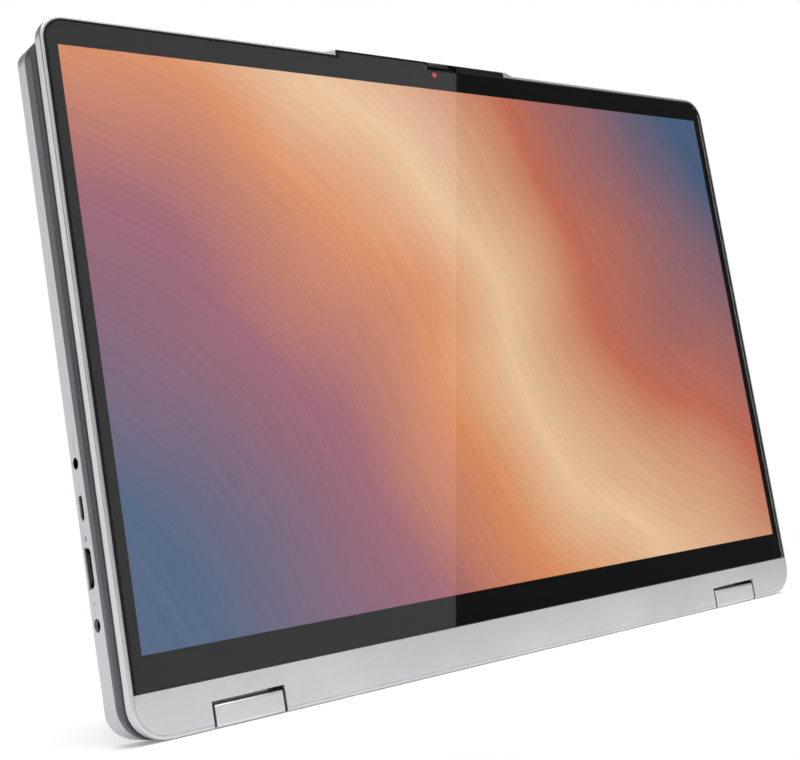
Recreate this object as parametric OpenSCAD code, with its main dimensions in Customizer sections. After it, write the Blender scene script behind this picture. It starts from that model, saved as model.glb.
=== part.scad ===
// Convertible laptop computer, folded fully round into tablet form.
// It stands on its hinge edge at z = 0, the display faces -Y, the keys face +Y, -X is the socket side.

/* [Overall size] */
// width of lid and base
body_w = 357.6; // [300:0.1:400]
// lid height from the hinge edge
lid_h = 255.5; // [200:0.1:300]
// base depth from the hinge edge
base_d = 251.5; // [200:0.1:300]
// lid thickness with the glass
lid_t = 6.6; // [4:0.1:10]
// base thickness without feet
base_t = 13.6; // [9:0.1:20]
// gap between lid and base when folded round
fold_gap = 2.1; // [1:0.05:4]
// corner radius at the hinge end
corner_hinge = 13.0; // [2:0.5:20]
// corner radius at the far end
corner_far = 9.5; // [2:0.5:20]

/* [Display] */
// picture width
active_w = 344.7; // [280:0.1:380]
// picture height
active_h = 215.4; // [180:0.1:250]
// height of the picture's lower edge
active_z = 29.0; // [15:0.1:50]
// height of the metal chin's top edge
chin_top = 16.6; // [8:0.1:30]
// glass thickness
glass_t = 0.9; // [0.5:0.1:2]
// display panel thickness
panel_t = 2.9; // [1.5:0.1:4]

/* [Walls] */
// side wall of the lid cover
lid_wall = 1.3; // [0.8:0.1:3]
// back plate of the lid cover
lid_floor = 0.9; // [0.5:0.1:2]
// side wall of the base
base_wall = 1.4; // [0.8:0.1:3]
// deck plate thickness
deck_t = 1.0; // [0.6:0.1:2]
// bottom plate thickness
floor_t = 1.2; // [0.6:0.1:2]
// foot height
foot_h = 1.6; // [0.5:0.1:4]

/* [Hinge] */
// height of both hinge axes
axis_z = 4.0; // [3:0.1:8]
// inner edge of each hinge notch
notch_in = 119.8; // [60:0.1:150]
// outer edge of each hinge notch
notch_out = 149.4; // [80:0.1:170]
// height of the notches
notch_top = 9.4; // [6:0.1:20]
// side gap between a link and its notch
link_gap = 1.0; // [0.5:0.1:3]
// shaft radius
shaft_r = 1.6; // [1:0.05:2.5]
// running clearance of the shafts
shaft_fit = 0.05; // [0.01:0.01:0.1]
// gear teeth
teeth = 10; // [8:1:16]

/* [Keyboard] */
// key pitch
key_pitch = 18.0; // [15:0.1:20]
// row pitch
row_pitch = 18.5; // [15:0.1:20]
// function row pitch
fn_pitch = 12.5; // [9:0.1:19]
// gap between keys
key_gap = 2.4; // [1:0.1:4]
// height where the function row starts
key_z0 = 36.0; // [20:0.5:60]
// number pad pitch
pad_pitch = 14.6; // [12:0.1:19]
// key travel
key_travel = 1.2; // [0.5:0.1:3]

/* [Sockets] */
// distance of the socket centres from the deck
socket_drop = 4.5; // [3:0.1:8]
// heights of power, light, video, small data and audio sockets
side_z = [41.3, 48.8, 61.0, 82.0, 97.5];
// audio socket radius
audio_r = 1.77; // [1.75:0.01:2]

/* [Hidden] */
$fn = 48;
e = 0.01;
far = 400;
total_t = base_t + lid_t + fold_gap;
lid_y0 = -total_t / 2;
lid_y1 = lid_y0 + lid_t;
bot_y = lid_y1 + fold_gap;
deck_y = bot_y + base_t;
lid_ay = lid_y0 + lid_t / 2;
half_w = body_w / 2;
rim_y = lid_y0 + 0.4;
closed_gap = 0.6;
base_ay = (deck_y + closed_gap + lid_t / 2 + lid_ay) / 2;
axis_gap = base_ay - lid_ay;
gear_gap = axis_gap / 3;
gear_y = [lid_ay, lid_ay + gear_gap, lid_ay + 2 * gear_gap, base_ay];
link_x0 = notch_in + link_gap;
link_x1 = notch_out - link_gap;
link_hz = 3.9;
link_hy = 3.2;
gear_x0 = link_x0 + 13.2;
gear_x1 = gear_x0 + 6.4;
bump_x0 = -52.5;
bump_x1 = 43.5;
bump_h = 1.4;
glass_y = lid_y0 + 0.15;
panel_y = glass_y + glass_t + 0.05;
glass_in = lid_wall + 1.0;
split_y0 = bot_y + 3.3;
split_y1 = bot_y + 6.8;
floor_y = bot_y + floor_t;
sock_y = deck_y - socket_drop;
board_y = 3.0;
board_t = 1.2;
cap_y0 = deck_y - 1.3;
cap_y1 = deck_y - 0.1;
plate_y0 = deck_y - 4.05;
plate_y1 = deck_y - 3.45;
web_y0 = deck_y - 2.05;
web_y1 = deck_y - 0.9;
main_u = 15;
pad_gap = 4;
keys_w = main_u * key_pitch + pad_gap + 4 * pad_pitch;
keys_x0 = -keys_w / 2;
keys_h = fn_pitch + 5 * row_pitch;
row_z = [for (i = [0:4]) key_z0 + fn_pitch + i * row_pitch];
pad_x0 = keys_x0 + main_u * key_pitch + pad_gap;
arrow_x0 = keys_x0 + 12 * key_pitch;
pad_touch = [-92, 38, 156, 238];
finger = [126, 139, 150, 163];
usb_z = [46, 67];
io_y = 3.9;
fan_c = [82, 62];
fan_r = 27;
boss_at = [[-170.5, 27], [170.5, 27], [-170.5, 125], [170.5, 125], [-170.5, 190], [170.5, 190],
           [-120, 245.5], [0, 245.5], [120, 245.5], [-60, 25], [20, 25]];
feet_at = [[-146, 146, 13, 21], [-146, -60, 231, 239], [60, 146, 231, 239]];

silver = [0.76, 0.77, 0.78];
dark = [0.2, 0.21, 0.22];
black = [0.06, 0.06, 0.07];
steel = [0.6, 0.61, 0.63];
green = [0.05, 0.2, 0.12];

// camera shutter: its track in the raised rim, and where its finger tab stops
track_x0 = -3.3;
track_x1 = 41.8;
tab_end = 13.6;
// the glass also rises with the rim, on the other side of the shutter
raised_x0 = bump_x0 + 1.3;

// ---- shared shapes -------------------------------------------------------
// flat shape in X and Z, given thickness from y0 to y1
module slab(y0, y1) { translate([0, y1, 0]) rotate([90, 0, 0]) linear_extrude(y1 - y0) children(); }
// flat shape in Y and Z, run from x0 to x1
module column(z0, z1) translate([0, 0, z0]) linear_extrude(z1 - z0) children();
module bar(x0, x1) { translate([x0, 0, 0]) rotate([90, 0, 90]) linear_extrude(x1 - x0) children(); }
module at(p) { translate([p[0], p[1]]) children(); }
module block(x0, x1, y0, y1, z0, z1) { translate([x0, y0, z0]) cube([x1 - x0, y1 - y0, z1 - z0]); }
module rod_x(x0, x1, y, z, r) { translate([x0, y, z]) rotate([0, 90, 0]) cylinder(h = x1 - x0, r = r); }
module rod_y(y0, y1, x, z, r) { translate([x, y1, z]) rotate([90, 0, 0]) cylinder(h = y1 - y0, r = r); }
// rectangle with a radius for each corner: low-low, high-low, high-high, low-high
module rr4(x0, x1, y0, y1, a, b, c, d) {
  polygon([[x0 + a, y0], [x1 - b, y0], [x1, y0 + b], [x1, y1 - c],
           [x1 - c, y1], [x0 + d, y1], [x0, y1 - d], [x0, y0 + a]]);
  at([x0 + a, y0 + a]) circle(a);
  at([x1 - b, y0 + b]) circle(b);
  at([x1 - c, y1 - c]) circle(c);
  at([x0 + d, y1 - d]) circle(d);
}
module rr(x0, x1, y0, y1, r) { rr4(x0, x1, y0, y1, r, r, r, r); }
module both() { children(); mirror([1, 0, 0]) children(); }
function cum(v, n) = n <= 0 ? 0 : v[n - 1] + cum(v, n - 1);

// ---- lid -----------------------------------------------------------------
module lid_outline(inset) {
  rr4(-half_w + inset, half_w - inset, inset, lid_h - inset,
      corner_hinge - inset, corner_hinge - inset, corner_far - inset, corner_far - inset);
}
module notches(grow) {
  both() translate([notch_in - grow, -5])
    square([notch_out - notch_in + 2 * grow, notch_top + grow + 5]);
}
module lid_cover() color(silver) difference() {
  intersection() {
    union() {
      slab(rim_y, lid_y1) lid_outline(0);
      slab(rim_y, lid_y1) rr4(bump_x0, bump_x1, lid_h - 12, lid_h + bump_h, 0.5, 0.5, 1.6, 1.6);
    }
    bar(-far, far) rr4(rim_y, lid_y1, 0, lid_h + bump_h, 1.6, 2.5, 2.0, 1.0);
    column(-1, lid_h + 9) rr4(-half_w, half_w, rim_y, lid_y1, 0.8, 0.8, 2.2, 2.2);
  }
  slab(rim_y - 1, lid_y1 - lid_floor) difference() { lid_outline(lid_wall); notches(1.0); }
  slab(rim_y - 1, lid_y1 + 1) notches(0);
  // room in the raised part of the rim for the glass and the track of the camera shutter
  block(raised_x0, track_x1, rim_y - 1, rim_y + 1.4, lid_h - lid_wall - 1, lid_h + bump_h - 0.4);
  // holes of the hinge shafts in the notch walls
  both() rod_x(notch_in - 1.2, notch_in + 0.2, lid_ay, axis_z, shaft_r + 0.3);
}
module lid_gasket() color(black) {
  slab(lid_y0, lid_y0 + 1.1) difference() {
    lid_outline(lid_wall + 0.05);
    lid_outline(glass_in - 0.05);
    translate([-far / 2, -1]) square([far, chin_top + 1.1]);
    translate([raised_x0 + 0.5, lid_h - 8]) square([tab_end - raised_x0 - 0.5, 10]);
  }
  // round the raised part of the glass
  slab(lid_y0, lid_y0 + 1.1) difference() {
    rr(raised_x0 + 0.1, track_x0 - 0.1, lid_h - lid_wall - 0.9, lid_h + bump_h - 0.5, 0.4);
    rr(raised_x0 + 0.9, track_x0, lid_h - 9, lid_h + bump_h - 0.9, 0.3);
  }
  // fills the rest of the shutter's track
  block(tab_end, track_x1 - 0.1, lid_y0 + 0.3, rim_y + 1.3, lid_h - lid_wall - 0.9, lid_h + bump_h - 0.5);
}
module screen_glass() color([0.1, 0.1, 0.12]) slab(glass_y, glass_y + glass_t) {
  rr4(-half_w + glass_in, half_w - glass_in, chin_top + 0.15, lid_h - glass_in, 1, 1, 7.2, 7.2);
  rr(raised_x0 + 1.0, track_x0 - 0.2, lid_h - 12, lid_h + bump_h - 1.0, 0.3);
}
module lcd_panel() color([0.15, 0.15, 0.2]) {
  slab(panel_y, panel_y + panel_t - 0.8)
    rr(-active_w / 2 - 0.8, active_w / 2 + 0.8, active_z - 6, active_z + active_h + 1, 1);
  slab(panel_y + panel_t - 0.8, panel_y + panel_t)
    rr(-active_w / 2 + 6, active_w / 2 - 6, active_z, active_z + active_h - 6, 1);
}
module chin_cover() color(silver) slab(rim_y - 0.2, rim_y + 0.75) difference() {
  intersection() {
    lid_outline(lid_wall + 0.05);
    translate([-far / 2, -1]) square([far, chin_top + 1]);
  }
  notches(1.05);
}
module camera_module() color(black) {
  block(-38, 34, panel_y + 0.75, panel_y + 2.3, 248.4, 253.6);
  rod_y(panel_y + 0.45, panel_y + 0.75, 0.65, 251.2, 2.0);
}
module camera_shutter() color([0.5, 0.08, 0.12]) {
  block(-2.6, 9, panel_y, panel_y + 0.3, 249.4, 254.0);
  block(0, 5, panel_y, panel_y + 0.3, 253.9, 254.9);
  block(-2.8, 8.6, glass_y - 0.1, panel_y + 0.3, 254.35, lid_h + bump_h - 0.5);
}
module lid_hinge_brackets() color(steel) both() {
  difference() {
    union() {
      block(101, 117.6, lid_ay - 1.9, lid_y1 - lid_floor - 0.05, 1.7, 6.4);
      block(101, 117.6, lid_y1 - lid_floor - 0.85, lid_y1 - lid_floor - 0.05, 6.3, 20);
    }
    rod_x(100, 119, lid_ay, axis_z, shaft_r);
    for (x = [105, 113]) rod_y(lid_ay, lid_y1, x, 14, 1.1);
  }
}
module gear(x0, x1, y, spin) {
  r0 = gear_gap / 2 - 0.4;
  r1 = gear_gap / 2 + 0.22;
  bar(x0, x1) translate([y, axis_z]) rotate(spin)
    polygon([for (k = [0:teeth - 1], c = [[r0, -9], [r1, -3.5], [r1, 3.5], [r0, 9]])
      [c[0] * cos(k * 360 / teeth + c[1]), c[0] * sin(k * 360 / teeth + c[1])]]);
}
module shafts(y, spin) both() {
  rod_x(101.5, gear_x0 + 0.4, y, axis_z, shaft_r);
  gear(gear_x0 + 0.3, gear_x1 - 1.9, y, spin);
}
module lid_hinge_shafts() color(steel) shafts(gear_y[0], 0);
module display_board() color(green) {
  block(-96, 96, panel_y + 0.6, panel_y + 1.4, 9.6, 20.5);
  for (x = [-60, -20, 30, 68]) block(x, x + 9, panel_y + 1.35, panel_y + 2.2, 12, 18);
}
module wifi_antennas() color([0.75, 0.6, 0.3])
  both() { block(66, 128, panel_y + 0.6, panel_y + 1.0, 247.6, 253.4); block(76, 92, panel_y + 0.95, panel_y + 1.9, 248.6, 252.4); }
module lid_magnets() color(steel) both() {
  block(152, 166, panel_y + 0.3, panel_y + 2.4, 248.2, 252.6);
}

// ---- hinge links ---------------------------------------------------------
module link_section(grow) {
  rr(lid_ay - link_hy + grow, base_ay + link_hy - grow, axis_z - link_hz + grow, axis_z + link_hz - grow,
     1.5 - grow);
}
module link_body() difference() {
  bar(link_x0, gear_x1) link_section(0);
  bar(gear_x0, gear_x1 + 1) rr(lid_ay - 2.3, base_ay + 2.3, axis_z - 2.3, axis_z + 2.3, 2.29);
  for (y = [lid_ay, base_ay]) rod_x(link_x0 - 1, gear_x0 + 1, y, axis_z, shaft_r + shaft_fit);
  for (i = [1, 2]) rod_x(gear_x0 - 1.6, gear_x0 + 1, gear_y[i], axis_z, 0.85);
}
module hinge_link_left() color(silver) mirror([1, 0, 0]) link_body();
module hinge_link_right() color(silver) link_body();
module hinge_link_caps() color(silver) both() difference() {
  bar(gear_x1, link_x1) link_section(0);
  for (i = [1, 2]) rod_x(gear_x1 - 1, gear_x1 + 1.6, gear_y[i], axis_z, 0.85);
}
module idler(i, spin) both() {
  gear(gear_x0 + 0.3, gear_x1 - 1.9, gear_y[i], spin);
  rod_x(gear_x0 - 1.3, gear_x1 + 1.3, gear_y[i], axis_z, 0.8);
}
module idler_gears_lid_side() color(steel) idler(1, 180 / teeth);
module idler_gears_base_side() color(steel) idler(2, 0);

// ---- base shells ---------------------------------------------------------
module base_outline(inset) {
  rr4(-half_w + inset, half_w - inset, inset, base_d - inset,
      corner_hinge - inset, corner_hinge - inset, corner_far - inset, corner_far - inset);
}
module base_shell() difference() {
  intersection() {
    slab(bot_y, deck_y) base_outline(0);
    bar(-far, far) rr4(bot_y, deck_y, 0, base_d, 2.0, 4.8, 1.8, 1.8);
    column(-1, base_d + 9) rr4(-half_w, half_w, bot_y, deck_y, 1.8, 1.8, 1.2, 1.2);
  }
  intersection() {
    slab(floor_y, deck_y - deck_t) difference() { base_outline(base_wall); notches(1.2); }
    bar(-far, far) rr4(floor_y, deck_y - deck_t, base_wall - 0.1, base_d - base_wall + 0.1,
                       0.9, 3.6, 0.9, 0.9);
  }
  slab(bot_y - 1, deck_y + 1) notches(0);
  both() rod_x(notch_in - 1.4, notch_in + 0.2, base_ay, axis_z, shaft_r + 0.3);
}
// everything on the deck side (+1) or the bottom side (-1) of the sloping parting line
module split_side(s) bar(-far, far)
  polygon([[split_y0 + s * 0.05, 0], [split_y1 + s * 0.05, base_d], [split_y1 + s * 30, base_d + 20],
           [split_y0 + s * 30, -20], [split_y0 + s * 0.05 - 0.28, -20]]);
module hdmi_section(g) polygon([[-2.25 - g, -5.6 - g * 0.4], [-2.25 - g, 5.6 + g * 0.4], [-0.95 - g * 0.4, 7.2 + g],
  [2.25 + g, 7.2 + g], [2.25 + g, -7.2 - g], [-0.95 - g * 0.4, -7.2 - g]]);
module side_cut(z) translate([0, sock_y, z]) bar(-half_w - 2, -half_w + 3) children();
module deck_cover() color(silver) {
  difference() {
    intersection() { base_shell(); split_side(1); }
    block(keys_x0 - 0.4, -keys_x0 + 0.4, deck_y - 2, deck_y + 1, key_z0 - 0.4, key_z0 + keys_h + 0.4);
    slab(deck_y - 2, deck_y + 1)
      rr(pad_touch[0] - 0.5, pad_touch[1] + 0.5, pad_touch[2] - 0.5, pad_touch[3] + 0.5, 3);
    slab(deck_y - 2, deck_y + 1) rr(finger[0] - 0.1, finger[1] + 0.1, finger[2] - 0.1, finger[3] + 0.1, 2);
    // socket holes in the side wall with the small and large sockets
    side_cut(side_z[0]) circle(2.4);
    side_cut(side_z[1]) circle(0.6);
    side_cut(side_z[2]) hdmi_section(0.1);
    side_cut(side_z[3]) rr(-1.4, 1.4, -4.55, 4.55, 1.39);
    side_cut(side_z[4]) circle(2.1);
    // holes in the other side wall
    for (z = usb_z) block(half_w - 3, half_w + 2, sock_y - 2.8, sock_y + 2.8, z - 0.1, z + 13.3);
    block(half_w - 3, half_w + 2, sock_y - 1.3, sock_y + 1.3, 88.9, 114.1);
    bar(half_w - 3, half_w + 2) rr(sock_y - 1.9, sock_y + 1.9, 122.7, 135.3, 1.89);
    // exhaust slots in the hinge edge
    for (i = [0:11]) block(46 + i * 4.4, 48.6 + i * 4.4, 3.4, 7.4, -1, base_wall + 1.5);
  }
  for (p = boss_at) difference() {
    rod_y(floor_y, deck_y - deck_t + 0.2, p[0], p[1], 2.4);
    rod_y(floor_y - 1, 6.6, p[0], p[1], 1.0);
  }
}
module bottom_cover() color(dark) difference() {
  intersection() { base_shell(); split_side(-1); }
  for (i = [0:10], j = [0:2])
    block(fan_c[0] - 24 + i * 4.6, fan_c[0] - 22 + i * 4.6, bot_y - 1, floor_y + 1,
          fan_c[1] - 22 + j * 15.5, fan_c[1] - 10 + j * 15.5);
  both() for (i = [0:7]) block(122 + i * 4, 124 + i * 4, bot_y - 1, floor_y + 1, 216, 226);
  for (p = boss_at) {
    rod_y(bot_y - 1, floor_y + 1, p[0], p[1], 1.15);
    rod_y(bot_y - 1, bot_y + 0.75, p[0], p[1], 2.3);
  }
}
module rubber_feet() color(black) for (f = feet_at) slab(bot_y - foot_h, bot_y) rr(f[0], f[1], f[2], f[3], 3.9);
module bottom_screws() color(steel) for (p = boss_at) {
  difference() {
    rod_y(bot_y + 0.05, bot_y + 0.75, p[0], p[1], 2.15);
    slab(bot_y - 1, bot_y + 0.45) at(p) circle(0.9, $fn = 6);
  }
  rod_y(bot_y + 0.7, 4.8, p[0], p[1], 0.95);
}

// ---- inside the base -----------------------------------------------------
module base_hinge_brackets() color(steel) both() difference() {
  union() {
    block(101, 117.4, base_ay - 2.2, base_ay + 2.3, 1.7, 6.3);
    block(101, 117.4, base_ay + 1.5, base_ay + 2.3, 6.2, 18.4);
  }
  rod_x(100, 119, base_ay, axis_z, shaft_r);
  for (x = [105, 113]) rod_y(base_ay, deck_y, x, 13, 1.1);
}
module base_hinge_shafts() color(steel) shafts(gear_y[3], 180 / teeth);
module motherboard() color(green) slab(board_y, board_y + board_t) difference() {
  union() {
    translate([-176.8, 32.5]) square([216.8, 50]);
    translate([-176.8, 80]) square([130, 32]);
  }
  // room for the deep audio and power sockets
  for (z = [side_z[0], side_z[4]]) translate([-180, z - 3.7]) square([12.6, 7.4]);
}
module board_chips() color(black) {
  for (c = [[-22, 44, 34, 26, 1.5], [-52, 50, 12, 9, 1.0], [-72, 50, 12, 9, 1.0], [-52, 66, 12, 9, 1.0],
            [-72, 66, 12, 9, 1.0], [-110, 60, 14, 14, 1.1], [-140, 84, 10, 10, 1.0], [-100, 92, 18, 8, 1.4]])
    block(c[0], c[0] + c[2], board_y - c[4], board_y, c[1], c[1] + c[3]);
}
module heat_pipe() color([0.72, 0.42, 0.25]) {
  block(-18, 8, board_y - 1.9, board_y - 1.55, 46, 68);
  block(-16, 49.5, board_y - 3.2, board_y - 1.85, 34.4, 40.4);
  block(-16, -9, board_y - 3.2, board_y - 1.85, 40.3, 66);
  block(43.5, 49.5, board_y - 3.2, board_y - 1.85, 14.4, 40.4);
  block(43.5, 96, board_y - 3.2, board_y - 1.85, 8.2, 14.5);
}
module cooling_fins() color(steel) {
  block(46, 98, board_y - 1.8, board_y - 1.4, 4.2, 15);
  for (i = [0:25]) block(46 + i * 2, 46.4 + i * 2, board_y - 1.45, 7.0, 4.2, 15);
}
module fan_housing() color(black) difference() {
  slab(-0.6, 5.8) rr(fan_c[0] - fan_r - 4, fan_c[0] + fan_r + 4, fan_c[1] - fan_r - 16, fan_c[1] + fan_r + 4, 6);
  rod_y(0.1, 5.2, fan_c[0], fan_c[1], fan_r + 1.4);
  block(fan_c[0] - 23, fan_c[0] + 23, 0.1, 5.2, fan_c[1] - fan_r - 17, fan_c[1]);
  rod_y(-1, 1, fan_c[0], fan_c[1], 19);
  rod_y(5, 7, fan_c[0], fan_c[1], 1.55);
}
module fan_rotor() color(dark) {
  rod_y(0.5, 4.6, fan_c[0], fan_c[1], 9);
  rod_y(4.5, 5.8, fan_c[0], fan_c[1], 1.5);
  for (i = [0:23]) translate([fan_c[0], 0, fan_c[1]]) rotate([0, i * 15, 0]) translate([8.5, 0.9, -0.35])
    cube([fan_r - 8.5, 3.4, 0.7]);
}
module battery_cells() color([0.12, 0.12, 0.14]) for (i = [0:3])
  block(-112 + i * 56.4, -57.6 + i * 56.4, -0.5, 4.6, 128, 214);
module battery_frame() color(black) difference() {
  block(-114, 114.4, -0.9, 4.9, 126, 222);
  for (i = [0:3]) block(-112.3 + i * 56.4, -57.3 + i * 56.4, -1.5, 6, 127.7, 214.3);
}
module ssd_module() color(green) {
  block(52, 132, 2.4, 3.2, 98, 120);
  for (x = [58, 80, 104]) block(x, x + 15, 0.9, 2.45, 102, 116);
}
module wifi_card() color(green) {
  block(-158, -128, 0.4, 1.2, 114, 122);
  block(-154, -134, -0.6, 0.45, 115, 121);
}
module speakers() color(black) both() slab(-0.9, 4.8) rr(122, 158, 200, 240, 4);
module io_board() color(green) block(136, 176.8, io_y - 1.2, io_y, 38, 119);
module keyboard_plate() color(steel) difference() {
  slab(plate_y0, plate_y1) rr(keys_x0 - 0.3, -keys_x0 + 0.3, key_z0 - 0.3, key_z0 + keys_h + 0.3, 1);
  both() rod_y(5, 8, 163, 120, 1.1);
}

// ---- keys ----------------------------------------------------------------
main_rows = [[1, 1, 1, 1, 1, 1, 1, 1, 1, 1, 1, 1, 1], [1.5, 1, 1, 1, 1, 1, 1, 1, 1, 1, 1, 1, 1, 1.5],
             [1.75, 1, 1, 1, 1, 1, 1, 1, 1, 1, 1, 1], [2.25, 1, 1, 1, 1, 1, 1, 1, 1, 1, 1, 2.75]];
low_row = [1.25, 1, 1, 1, 5.75, 1, 1];
module cap(x, z, w, h) {
  slab(cap_y0, cap_y1) rr(x + key_gap / 2, x + w - key_gap / 2, z + key_gap / 2, z + h - key_gap / 2, 1.2);
  block(x + w / 2 - 2.5, x + w / 2 + 2.5, cap_y0 - 0.6, cap_y0 + 0.1, z + h / 2 - 2.5, z + h / 2 + 2.5);
}
module hole(x, z, w, h) {
  g = key_gap / 2 - 0.35;
  translate([x + g, z + g]) square([w - 2 * g, h - 2 * g]);
}
module main_row(i) for (k = [0:len(main_rows[i]) - 1])
  cap(keys_x0 + cum(main_rows[i], k) * key_pitch, row_z[i], main_rows[i][k] * key_pitch, row_pitch);
module low_key(k) cap(keys_x0 + cum(low_row, k) * key_pitch, row_z[4], low_row[k] * key_pitch, row_pitch);
fn_w = main_u * key_pitch / 14;
back_x = keys_x0 + 13 * key_pitch;
enter_x = keys_x0 + 12.75 * key_pitch;
half_h = row_pitch / 2;
module function_keys() color(dark) {
  for (k = [0:13]) cap(keys_x0 + k * fn_w, key_z0, fn_w, fn_pitch);
  for (k = [0:3]) cap(pad_x0 + k * pad_pitch, key_z0, pad_pitch, fn_pitch);
}
module number_keys() color(dark) main_row(0);
module upper_letter_keys() color(dark) main_row(1);
module home_letter_keys() color(dark) main_row(2);
module lower_letter_keys() color(dark) main_row(3);
module modifier_keys() color(dark) for (k = [0, 1, 2, 3, 5, 6]) low_key(k);
module space_bar() color(dark) low_key(4);
module enter_key() color(dark) cap(enter_x, row_z[2], 2.25 * key_pitch, row_pitch);
module backspace_key() color(dark) cap(back_x, row_z[0], 2 * key_pitch, row_pitch);
module arrow_keys() color(dark) {
  for (k = [0, 2]) arrow_cap(arrow_x0 + k * key_pitch, row_z[4] + half_h);
  arrow_cap(arrow_x0 + key_pitch, row_z[4]);
  arrow_cap(arrow_x0 + key_pitch, row_z[4] + half_h);
}
module arrow_cap(x, z) {
  slab(cap_y0 - 0.6, cap_y1) rr(x + key_gap / 2, x + key_pitch - key_gap / 2, z + 0.8, z + half_h - 0.8, 1.2);
}
module numpad_keys() color(dark) {
  for (r = [0:4], k = [0:3]) if (!(r == 4 && k == 1)) {
    wide = (r == 4 && k == 0) ? 2 : 1;
    cap(pad_x0 + k * pad_pitch, row_z[r], wide * pad_pitch, row_pitch);
  }
}
module keyboard_web() color(black) slab(web_y0, web_y1) difference() {
  translate([keys_x0 - 0.2, key_z0 - 0.2]) square([keys_w + 0.4, keys_h + 0.4]);
  for (k = [0:13]) hole(keys_x0 + k * fn_w, key_z0, fn_w, fn_pitch);
  for (k = [0:3]) hole(pad_x0 + k * pad_pitch, key_z0, pad_pitch, fn_pitch);
  for (i = [0:3], k = [0:len(main_rows[i]) - 1])
    hole(keys_x0 + cum(main_rows[i], k) * key_pitch, row_z[i], main_rows[i][k] * key_pitch, row_pitch);
  hole(back_x, row_z[0], 2 * key_pitch, row_pitch);
  hole(enter_x, row_z[2], 2.25 * key_pitch, row_pitch);
  for (k = [0:6]) hole(keys_x0 + cum(low_row, k) * key_pitch, row_z[4], low_row[k] * key_pitch, row_pitch);
  translate([arrow_x0 + 0.85, row_z[4] + half_h + 0.45]) square([3 * key_pitch - 1.7, half_h - 0.9]);
  translate([arrow_x0 + key_pitch + 0.85, row_z[4] + 0.45]) square([key_pitch - 1.7, half_h]);
  for (r = [0:4], k = [0:3]) hole(pad_x0 + k * pad_pitch, row_z[r],
    (r == 4 && k == 0 ? 2 : 1) * pad_pitch, row_pitch);
}

// ---- touchpad, sensors, sockets -----------------------------------------
module touchpad() color(silver) {
  slab(deck_y - 1.1, deck_y - 0.1) rr(pad_touch[0], pad_touch[1], pad_touch[2], pad_touch[3], 2.5);
  rod_x(pad_touch[0] + 10, pad_touch[1] - 10, deck_y - 1.1, pad_touch[2] + 2, 0.5);
}
module touchpad_board() color(green)
  block(pad_touch[0] + 4, pad_touch[1] - 4, deck_y - 3.2, deck_y - 2.4, pad_touch[2] + 6, pad_touch[3] - 6);
module fingerprint_sensor() color(black)
  slab(deck_y - 1.3, deck_y - 0.15) rr(finger[0], finger[1], finger[2], finger[3], 1.9);
module side_part(x0, x1, z) translate([0, sock_y, z]) bar(x0, x1) children();
module hdmi_socket() color(steel) {
  difference() {
    side_part(-half_w + 0.4, -half_w + 11.4, side_z[2]) hdmi_section(0);
    side_part(-half_w + 0.3, -half_w + 10.8, side_z[2]) hdmi_section(-0.3);
  }
  block(-half_w + 2, -half_w + 11, sock_y - 0.6, sock_y + 0.6, side_z[2] - 5, side_z[2] + 5);
}
module usb_c_socket() color(steel) {
  difference() {
    side_part(-half_w + 0.4, -half_w + 8.9, side_z[3]) rr(-1.3, 1.3, -4.45, 4.45, 1.29);
    side_part(-half_w + 0.3, -half_w + 8.3, side_z[3]) rr(-1.05, 1.05, -4.2, 4.2, 1.04);
  }
  block(-half_w + 1.6, -half_w + 8.6, sock_y - 0.3, sock_y + 0.3, side_z[3] - 3.3, side_z[3] + 3.3);
}
module audio_socket() color(black) difference() {
  union() {
    block(-half_w + 1.5, -half_w + 11, sock_y - 3, sock_y + 3, side_z[4] - 3.2, side_z[4] + 3.2);
    rod_x(-half_w + 0.1, -half_w + 2, sock_y, side_z[4], 2.02);
  }
  rod_x(-half_w - 1, -half_w + 10.2, sock_y, side_z[4], audio_r);
}
module power_socket() color(black) {
  difference() {
    block(-half_w + 1.5, -half_w + 11, sock_y - 3.1, sock_y + 3.1, side_z[0] - 3.4, side_z[0] + 3.4);
    rod_x(-half_w, -half_w + 10, sock_y, side_z[0], 2.3);
  }
  rod_x(-half_w + 2.2, -half_w + 10.4, sock_y, side_z[0], 0.6);
}
module usb_a_sockets() color(steel) for (z = usb_z) {
  difference() {
    block(half_w - 11.2, half_w - 0.4, sock_y - 2.7, sock_y + 2.7, z, z + 13.2);
    block(half_w - 10.8, half_w + 1, sock_y - 2.4, sock_y + 2.4, z + 0.3, z + 12.9);
  }
  block(half_w - 11, half_w - 2, sock_y, sock_y + 1.6, z + 1.1, z + 12.1);
}
module card_reader() color(steel) difference() {
  block(half_w - 12.1, half_w - 1.5, io_y, sock_y + 1.6, 87, 116);
  block(half_w - 11.5, half_w + 1, sock_y - 1.2, sock_y + 1.2, 89, 114);
}
module power_button() color(silver) {
  bar(half_w - 2.6, half_w - 0.05) rr(sock_y - 1.6, sock_y + 1.6, 123, 135, 1.59);
  bar(half_w - 3.1, half_w - 2.5) rr(sock_y - 2, sock_y + 2, 122.4, 135.6, 1.9);
}
module status_led() color([0.9, 0.95, 1]) rod_x(-half_w + 0.02, -half_w + 1.9, sock_y, side_z[1], 0.55);

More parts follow.
